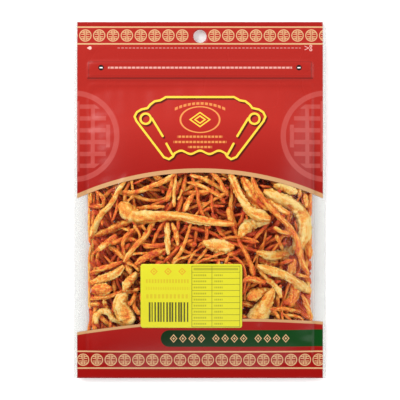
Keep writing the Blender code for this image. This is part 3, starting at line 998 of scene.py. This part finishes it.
def end_cap(mesh):
    """The corners of one flat end of a CAD strand."""
    seen = set()
    for face in mesh.faces:
        group = [face] if face not in seen else []
        seen.add(face)
        sharp = True
        for flat in group:
            for edge in flat.edges:
                angle = edge.calc_face_angle(0)
                if angle < math.radians(1):
                    fresh = [other for other in edge.link_faces if other not in seen]
                    group += fresh
                    seen.update(fresh)
                elif angle < math.radians(40):
                    sharp = False
        corners = {vertex for flat in group for vertex in flat.verts}
        if sharp and len(corners) == CAD_STRAND_SIDES:
            return corners
    raise ValueError("a strand has no flat end")


def cad_spine(node):
    """The middle and the radius of each ring of a CAD strand, from one end to the other."""
    mesh = bmesh.new()
    mesh.from_mesh(frame["nodes"][node].data)
    bmesh.ops.remove_doubles(mesh, verts=mesh.verts, dist=0.01 * MM)
    mesh.normal_update()
    ring = end_cap(mesh)
    seen = set(ring)
    middles = []
    radii = []
    while ring:
        corners = np.array([vertex.co for vertex in ring])
        middle = corners.mean(axis=0)
        middles.append(middle)
        radii.append(np.linalg.norm(corners - middle, axis=1).mean())
        ring = {edge.other_vert(vertex) for vertex in ring for edge in vertex.link_edges} - seen
        seen |= ring
    mesh.free()
    return np.array(middles), np.array(radii)


def evened(values, count, times):
    """Values read again at even steps, with their corners rounded and their ends kept."""
    places = np.linspace(0, len(values) - 1, count)
    fine = np.interp(places, np.arange(len(values)), values)
    for _ in range(times):
        fine[1:-1] = (fine[:-2] + 2 * fine[1:-1] + fine[2:]) / 4
    return fine


def strand_profile(kind, count):
    """How a strand's radius runs from one end to the other."""
    t = np.linspace(0, 1, count)
    if kind == "club":
        profile = 0.40 + 0.60 * bell(t - 0.86, 0.17) + 0.06 * np.sin(9 * t)
    elif kind == "needle":
        profile = 0.55 + 0.45 * np.sin(np.pi * (0.15 + 0.6 * t))
    else:
        profile = 0.85 + 0.15 * np.sin(7 * t + 1)
    ends = np.minimum(np.minimum(t, 1 - t) / 0.05, 1)
    return profile * np.sqrt(0.12 + 0.88 * ends * (2 - ends))


def wrinkles(around, travelled, rough):
    """How far each point of a strand stands out or in, as a share of its radius."""
    start = random.uniform(0, 90)
    height = np.empty(len(around))
    for i, (angle, far) in enumerate(zip(around, travelled)):
        u = math.cos(angle)
        v = math.sin(angle)
        lump = noise.noise(Vector((u * 0.6, v * 0.6 + start, far * 0.9)))
        ridge = abs(noise.noise(Vector((u * 1.7 + start, v * 1.7, far * 0.5)))) - MEAN_FOLD
        fold = abs(noise.noise(Vector((u * 1.2, start - v * 1.2, far * 2.6)))) - MEAN_FOLD
        grain = noise.noise(Vector((u * 3.1, v * 3.1 + start, far * 6.5)))
        height[i] = 0.2 * lump + rough * (0.5 * ridge + 0.36 * fold + 0.1 * grain)
    return height


def bent_strand(template, name, spine, radius, tone, rough):
    """A copy of a straight strand laid along a spine, with dried ridges, lumps and folds."""
    mesh = template.data.copy()
    points = points_of(mesh)
    count = len(spine)
    place = np.clip(points[:, 0], 0, 1) * (count - 1)
    low = np.minimum(place.astype(int), count - 2)
    share = (place - low)[:, None]
    run = np.gradient(spine, axis=0)
    run /= np.linalg.norm(run, axis=1)[:, None]
    side = np.cross(np.array([0, 0, 1.0]), run)
    side /= np.linalg.norm(side, axis=1)[:, None]
    rise = np.cross(run, side)

    def along(values):
        return values[low] * (1 - share) + values[low + 1] * share

    steps = np.linalg.norm(np.diff(spine, axis=0), axis=1)
    travelled = along(np.concatenate([[0], np.cumsum(steps)])[:, None])[:, 0] / (2 * radius.max())
    around = np.arctan2(points[:, 2], points[:, 1])
    height = wrinkles(around, travelled, rough)
    reach = along(radius[:, None]) * (1 + height[:, None])
    laid = along(spine) + along(side) * np.cos(around)[:, None] * reach
    laid += along(rise) * np.sin(around)[:, None] * reach
    laid[:, 2] = np.minimum(laid[:, 2], FRONT.at(laid[:, 0], laid[:, 1]) - UNDER_FRONT)
    laid[:, 2] = np.maximum(laid[:, 2], BACK.at(laid[:, 0], laid[:, 1]) + OVER_BACK)
    move_points(mesh, laid)
    fullness = along(radius[:, None])[:, 0] / radius.max()
    # fold carries how far each point stands out or sinks in, which the material turns into painted shade.
    set_value(mesh, "fold", np.clip(height * 3.2, -1, 1))
    set_value(mesh, "tone", tone + 0.22 * (fullness - 0.75))
    mesh.shade_smooth()
    piece = bpy.data.objects.new(name, mesh)
    bpy.context.scene.collection.objects.link(piece)
    return piece


# ---------------------------------------------------------------- the contents

def make_outer_strands(pale, orange):
    """The larger strands, each laid along the spine of its own solid."""
    slots = {entry["node"]: entry["material_slot"] for entry in frame["record"]["subparts"]}
    thick = strand_template("thick_strand", 26, THICK_RINGS)
    slim = strand_template("slim_strand", 16, SLIM_RINGS)
    for node in STRAND_NODES:
        middles, radii = cad_spine(node)
        is_thick = radii.max() > THICK_STRAND_RADIUS
        template = thick if is_thick else slim
        count = THICK_RINGS if is_thick else SLIM_RINGS
        swell = THICK_SWELL if is_thick else SLIM_SWELL
        spine = np.stack([evened(middles[:, axis], count, 8) for axis in range(3)], axis=1)
        radius = evened(radii, count, 5) * swell
        spine[:, 2] -= radius * (1 - 1 / swell)
        is_pale = slots[node].endswith("pale")
        tone = random.uniform(*(PALE_TONES if is_pale else ORANGE_TONES))
        piece = bent_strand(template, node.replace("strand", "cordyceps"), spine, radius, tone, 1.15)
        finish_piece(piece, pale if is_pale else orange, slots[node], node)
    bpy.data.objects.remove(thick)
    bpy.data.objects.remove(slim)


class Packing:
    """The room left in the pouch, between the strands hung from its film and those lying on its back."""

    def __init__(self):
        under_strands = looked_at(STRAND_NODES, False, 1.0).z
        self.top = Heights(np.minimum(FRONT.z - 0.5 * MM, under_strands - 0.1 * MM))
        self.bottom = Heights(BACK.z + 0.3 * MM)

    def emptiness(self, x, y):
        """How little hangs over a route so far."""
        return self.top.at(x, y).mean() - FRONT_EVENED.at(x, y).mean()

    def hang(self, x, y, radius):
        """The heights at which a strand's points lie just under what is above them."""
        heights = np.empty(len(x))
        for i in range(len(x)):
            part, square = self.top.near(x[i], y[i], radius[i] + Heights.STEP)
            inside = square < (radius[i] + 0.2 * MM) ** 2
            if not inside.any():
                return None
            room = self.top.z[part] - np.sqrt(np.maximum(radius[i] ** 2 - square, 0))
            heights[i] = room[inside].min()
        for _ in range(40):
            level = (heights[:-2] + heights[2:]) / 2 + HUNG_SAG
            heights[1:-1] = np.minimum(heights[1:-1], level)
        return heights

    def lay(self, template, name, x, y, z, radius, tone, rough):
        """Makes a strand that was hung, and takes its room away from what is left."""
        for i in range(len(x)):
            part, square = self.top.near(x[i], y[i], radius[i] + Heights.STEP)
            under = z[i] - np.sqrt(np.maximum(radius[i] ** 2 - square, 0))
            inside = square < (radius[i] + 0.4 * MM) ** 2
            self.top.z[part] = np.where(inside, np.minimum(self.top.z[part], under), self.top.z[part])
        return bent_strand(template, name, np.stack([x, y, z], axis=1), radius, tone, rough)

    def fill_up(self, x, y, z, radius):
        """Raises the bottom to the strands that lie on it."""
        for i in range(len(x)):
            part, _ = self.bottom.near(x[i], y[i], radius[i] + Heights.STEP)
            self.bottom.z[part] = np.maximum(self.bottom.z[part], z[i] + 0.3 * radius[i])


def random_route(length, points):
    """A wandering route through the filled part of the pouch, which turns along its edges."""
    side_limit = INNER_HALF - 3.5 * MM
    foot_limit = FOOT_LINE + 8 * MM
    x = random.uniform(-side_limit, side_limit)
    y = random.uniform(foot_limit, HUNG_TOP)
    heading = (0.75 if x < 0 else -0.85) + random.gauss(0, 0.8) + random.choice((0, math.pi))
    bend = random.gauss(0, 1.1)
    twist = random.uniform(0, 90)
    step = length / (points - 1)
    route = []
    for i in range(points):
        route.append((x, y))
        heading += bend / points + 7.0 / points * noise.noise(Vector((i * 7.0 / points, twist, 0)))
        if abs(x) > side_limit - 3 * step and x * math.cos(heading) > 0:
            upright = math.copysign(math.pi / 2, math.sin(heading))
            heading += 0.5 * math.remainder(upright - heading, 2 * math.pi)
        if y < foot_limit + 3 * step and math.sin(heading) < 0:
            level = 0 if math.cos(heading) > 0 else math.pi
            heading += 0.5 * math.remainder(level - heading, 2 * math.pi)
        x += step * math.cos(heading)
        y += step * math.sin(heading)
    return np.array(route).T


def in_pouch(x, y, radius):
    inner = INNER_HALF - 0.3 * MM - radius
    return (np.abs(x) < inner).all() and y.min() > FOOT_LINE + 4 * MM and y.max() < ZIP_LOW[1] - 10 * MM


def best_route(length, radius, tries, merit, least_room=-math.inf):
    """The best of a few random routes that lie in the pouch with this much room over them, if any does."""
    best = None
    for _ in range(tries):
        x, y = random_route(length, len(radius))
        room = FRONT.at(x, y) - BACK.at(x, y) - 2 * radius
        if in_pouch(x, y, radius) and room.min() > least_room:
            found = merit(x, y)
            if best is None or found > best[0]:
                best = (found, (x, y))
    return best and best[1]


def hang_strands(packing, template, points, tries, name):
    """Hangs strands one under the other, each in the emptiest of a few random places."""
    laid = []
    for attempt in range(tries):
        draw = random.random()
        kind = "club" if draw < 0.16 else ("needle" if draw < 0.55 else "stem")
        width = random.uniform(*STRAND_WIDTHS_MM[kind])
        radius = strand_profile(kind, points) * width / 2 * MM
        length = random.uniform(*HUNG_LENGTHS_MM) * MM
        route = best_route(length, radius, 6, packing.emptiness)
        if route is None:
            continue
        x, y = route
        z = packing.hang(x, y, radius)
        if z is None or not (z > packing.bottom.at(x, y) + 0.2 * MM).all():
            continue
        # Painted shade: a strand hung deeper under the film gets a darker tone.
        depth = FRONT.at(x, y).mean() - z.mean()
        tone = random.triangular(*HUNG_TONES) - min(depth / (38 * MM), 0.3)
        laid.append(packing.lay(template, f"{name}_{attempt}", x, y, z, radius, tone, 0.8))
    return laid


def scatter_strands(template, points, tries):
    """The lowest strands, which lie at all angles on the back film, each in the barest of a few places."""
    laid = []
    covered = Heights()
    for _ in range(tries):
        length = random.uniform(*SCATTERED_LENGTHS_MM) * MM
        radius = strand_profile(random.choice(("stem", "needle")), points) * random.uniform(1.3, 2.2) * MM
        route = best_route(length, radius, 8, lambda x, y: -covered.at(x, y).mean(), 1 * MM)
        if route is None:
            continue
        x, y = route
        for i in range(points):
            part, square = covered.near(x[i], y[i], 3 * MM)
            covered.z[part] = np.where(square < (2.6 * MM) ** 2, 1, covered.z[part])
        spine = np.stack([x, y, BACK.at(x, y) + radius + 0.2 * MM], axis=1)
        # A dark tone: painted shade for the bottom of the pouch.
        tone = random.uniform(*SCATTERED_SHADED_TONES)
        laid.append(bent_strand(template, f"scattered_{len(laid)}", spine, radius, tone, 0.9))
    return laid


def lay_mat(packing, template, points, spacing, heading, lift, name):
    """A close layer of strands side by side over the back film, so that no floor shows between the rest."""
    laid = []
    run = np.array([math.cos(heading), math.sin(heading)])
    across = np.array([-run[1], run[0]])
    middle = np.array([0, (FOOT_LINE + ZIP_LOW[1]) / 2])
    half = 175 * MM
    side_limit = INNER_HALF - 2.2 * MM
    spots = np.arange(-half, half, 1 * MM)
    for row in np.arange(-half, half, spacing):
        xs, ys = middle[:, None] + run[:, None] * spots + across[:, None] * row
        room = FRONT.at(xs, ys) - BACK.at(xs, ys) - lift
        within = (np.abs(xs) < side_limit) & (ys > FOOT_LINE + 4 * MM) & (ys < ZIP_LOW[1] - 12 * MM)
        inside = spots[within & (room > 4.6 * MM)]
        if len(inside) < 8:
            continue
        start = inside[0] + random.uniform(0, 2) * MM
        while start < inside[-1] - 8 * MM:
            length = min(random.uniform(*MAT_LENGTHS_MM) * MM, inside[-1] - start)
            t = np.linspace(0, length, points)
            bow = 1.3 * MM * np.sin(t / (8 * MM) + random.uniform(0, 6)) * np.sin(np.pi * t / length)
            bow += random.gauss(0, MAT_SPREAD) * (t - length / 2)
            base = middle + run * start + across * (row + random.uniform(-0.5, 0.5) * MM)
            x, y = base[:, None] + run[:, None] * t + across[:, None] * bow
            x = np.clip(x, -side_limit, side_limit)
            radius = strand_profile("stem", points) * random.uniform(2.1, 2.7) * MM
            z = BACK.at(x, y) + radius + lift
            # A dark tone: painted shade for the bottom of the pouch.
            tone = random.uniform(*MAT_SHADED_TONES)
            spine = np.stack([x, y, z], axis=1)
            laid.append(bent_strand(template, f"{name}_{len(laid)}", spine, radius, tone, 0.8))
            packing.fill_up(x, y, z, radius)
            start += length - random.uniform(1, 4) * MM
    return laid


def lay_edge_strands(packing, template, points):
    """Strands that lie along the side welds, over the ends of those that run across."""
    laid = []
    t = np.linspace(0, 1, points)
    for side in (-1, 1):
        for lane in range(3):
            y = FOOT_LINE + random.uniform(6, 16) * MM
            while y < HUNG_TOP - 20 * MM:
                length = random.uniform(*EDGE_LENGTHS_MM) * MM
                bow = random.uniform(-2.5, 2.5) * MM
                inward = (2.6 + 2.5 * lane) * MM + bow * np.sin(np.pi * t) + random.uniform(0, 2) * MM * t
                radius = strand_profile("stem", points) * random.uniform(1.1, 1.9) * MM
                limit = INNER_HALF - 1.2 * MM - radius
                xs = np.clip(side * (INNER_HALF - inward), -limit, limit)
                ys = y + length * t
                z = packing.hang(xs, ys, radius)
                if z is not None and (z > BACK.at(xs, ys) + radius).all():
                    tone = random.uniform(*EDGE_TONES)
                    laid.append(packing.lay(template, f"edge_{len(laid)}", xs, ys, z, radius, tone, 0.8))
                y += length * random.uniform(0.8, 1.3)
    return laid


def lay_thin_strands(packing, template, points):
    """The small strands that lie in sight between the larger ones."""
    laid = []
    for bends in THIN_STRANDS_MM:
        x, y, width = (evened(np.array(values) * MM, points, 3) for values in zip(*bends))
        radius = strand_profile("stem", points) * width / 2
        z = packing.hang(x, y, radius)
        if z is not None:
            tone = random.uniform(*THIN_TONES)
            laid.append(packing.lay(template, f"thin_{len(laid)}", x, y, z, radius, tone, 0.9))
    return laid


def make_inner_strands(upper_finish, deep_finish):
    """The many strands under and between the larger ones, from the film down to the back."""
    fine = strand_template("upper_strand", 12, 40)
    plain = strand_template("deep_strand", 6, 11)
    packing = Packing()
    lowest = scatter_strands(plain, PLAIN_POINTS, SCATTER_TRIES)
    lowest += lay_mat(packing, plain, PLAIN_POINTS, 3.3 * MM, 0.7, 1.2 * MM, "mat")
    lowest += lay_mat(packing, plain, PLAIN_POINTS, 3.7 * MM, -0.8, 3.2 * MM, "crossing")
    upper = lay_thin_strands(packing, fine, FINE_POINTS)
    upper += hang_strands(packing, fine, FINE_POINTS, UPPER_TRIES, "upper")
    upper += lay_edge_strands(packing, fine, FINE_POINTS)
    deep = hang_strands(packing, plain, PLAIN_POINTS, DEEP_TRIES, "deep")
    bpy.data.objects.remove(fine)
    bpy.data.objects.remove(plain)
    half = len(upper) // 2
    for name, pieces, finish, slot in (
        ("upper_strands_1", upper[:half], upper_finish, "dried_strand_orange"),
        ("upper_strands_2", upper[half:], upper_finish, "dried_strand_orange"),
        ("deep_strands", deep, deep_finish, "dried_strand_dark"),
        ("lowest_strands", lowest, deep_finish, "dried_strand_dark"),
    ):
        finish_piece(joined(pieces, name), finish, slot, "strand_bed")


# ---------------------------------------------------------------- studio

def studio_sky():
    """Soft light from all round, dimmer straight overhead so that flat film isn't veiled by it."""
    world = bpy.data.worlds.new("studio")
    world.use_nodes = True
    tree = world.node_tree
    background = tree.nodes["Background"]
    place = tree.nodes.new("ShaderNodeTexCoord")
    split = tree.nodes.new("ShaderNodeSeparateXYZ")
    ramp = tree.nodes.new("ShaderNodeValToRGB")
    for element, height, grey in zip(ramp.color_ramp.elements, (0.75, 0.96), (1.0, 0.5)):
        element.position = height
        element.color = (grey, grey, grey, 1)
    tree.links.new(place.outputs["Generated"], split.inputs[0])
    tree.links.new(split.outputs["Z"], ramp.inputs[0])
    tree.links.new(ramp.outputs[0], background.inputs["Color"])
    background.inputs["Strength"].default_value = SKY_STRENGTH
    return world


def make_floor():
    """White card that glows a little, so that it stays white beside and under the pouch."""
    bpy.ops.object.select_all(action="DESELECT")
    bpy.ops.mesh.primitive_plane_add(size=6, location=(0, 0, -0.2 * MM))
    floor = bpy.context.object
    floor.name = "studio_floor"
    card = clouded_material("floor_white", (0.93, 0.93, 0.93), (0.95, 0.95, 0.95), 0.8, 0.5, FLOOR_GLOW)
    floor.data.materials.append(card)


def make_lights():
    for name, (place, size, power) in LIGHTS.items():
        lamp = bpy.data.lights.new(name, "AREA")
        lamp.size = size
        lamp.energy = power
        light = bpy.data.objects.new(name, lamp)
        light.location = place
        light.rotation_euler = (-Vector(place)).to_track_quat("-Z", "Y").to_euler()
        bpy.context.scene.collection.objects.link(light)


def make_camera():
    """A camera straight over the pouch, far enough off that it sees it nearly flat."""
    camera = bpy.data.objects.new("camera", bpy.data.cameras.new("camera"))
    camera.data.sensor_width = SENSOR_MM
    camera.data.lens = SENSOR_MM * CAMERA_DISTANCE / VIEW_WIDTH
    camera.data.clip_end = 20
    camera.location = (0, 0, CAMERA_HEIGHT)
    bpy.context.scene.collection.objects.link(camera)
    bpy.context.scene.camera = camera


def main():
    make_floor()
    make_lights()
    make_camera()
    bpy.context.scene.world = studio_sky()
    bpy.context.scene.view_settings.view_transform = "Standard"
    make_film("front_sheet", FRONT_FACES, FRONT, -1, film_material("front_film_print", True), "front_film")
    make_film("back_sheet", BACK_FACES, BACK, 1, film_material("back_film_print", False), "back_film")
    make_label()
    make_zip()
    pale = strand_material("dried_strand_pale", 0.09)
    orange = strand_material("dried_strand_orange", 0.0)
    # The deep finish is a little darker: painted shade for strands low in the pouch.
    deep = strand_material("dried_strand_deep_shaded", -0.04)
    make_outer_strands(pale, orange)
    make_inner_strands(orange, deep)


main()
